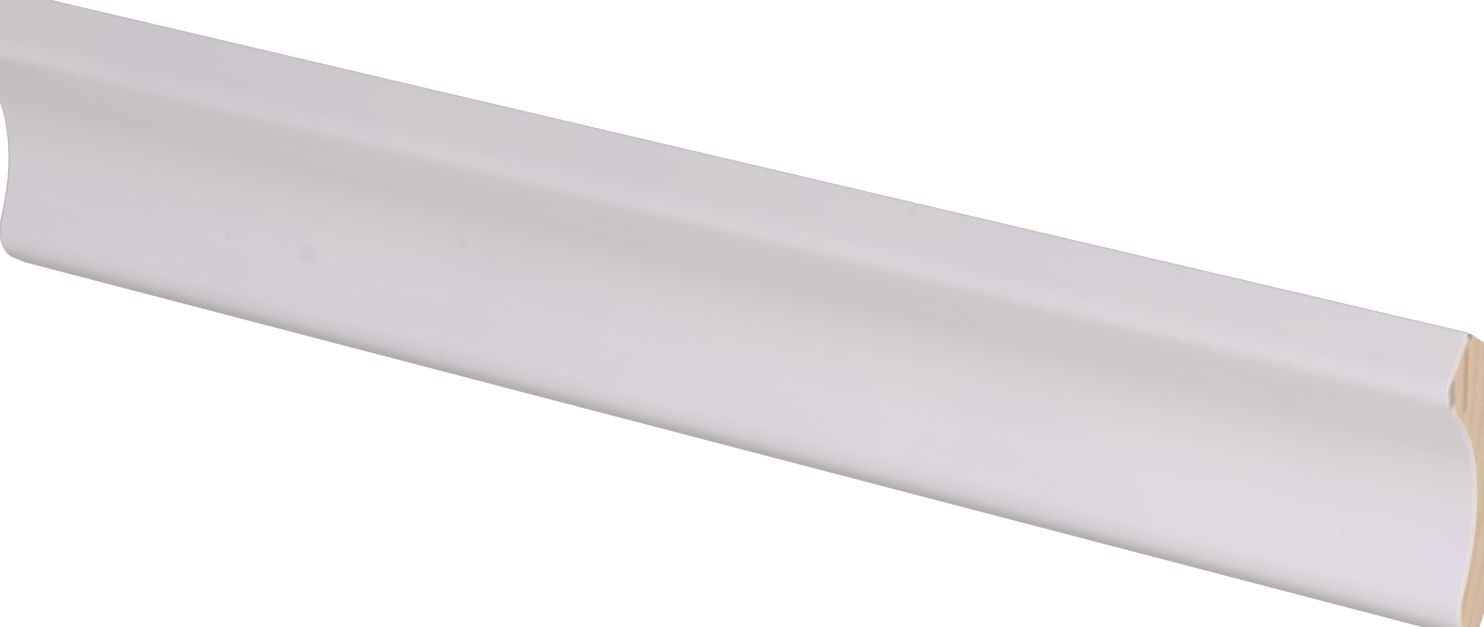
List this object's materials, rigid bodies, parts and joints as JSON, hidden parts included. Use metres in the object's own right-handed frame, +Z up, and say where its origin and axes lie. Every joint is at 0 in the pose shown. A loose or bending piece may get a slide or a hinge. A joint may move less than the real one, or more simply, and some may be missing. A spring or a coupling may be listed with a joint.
{
  "type": "crown moulding length",
  "caption": "Short length of sprung cove crown moulding in white-painted softwood, cut square at both ends, for the corner of a wall and a ceiling.",
  "frame": {"origin": "centre of the face that lies on the wall, at the middle of the length", "axes": "+X along the length, +Y into the wall, out of the wall face, +Z up, out of the ceiling face; the cove faces the room on the -Y side"},
  "size_m": [0.208, 0.0306, 0.031],
  "materials": {
    "bare_pine": "unfinished sawn and planed pine",
    "white_paint": "factory-sprayed satin white paint over softwood, bare wood at the cut ends and back"
  },
  "bodies": {
    "root": {"crown_moulding": "white_paint"}
  },
  "joints": []
}
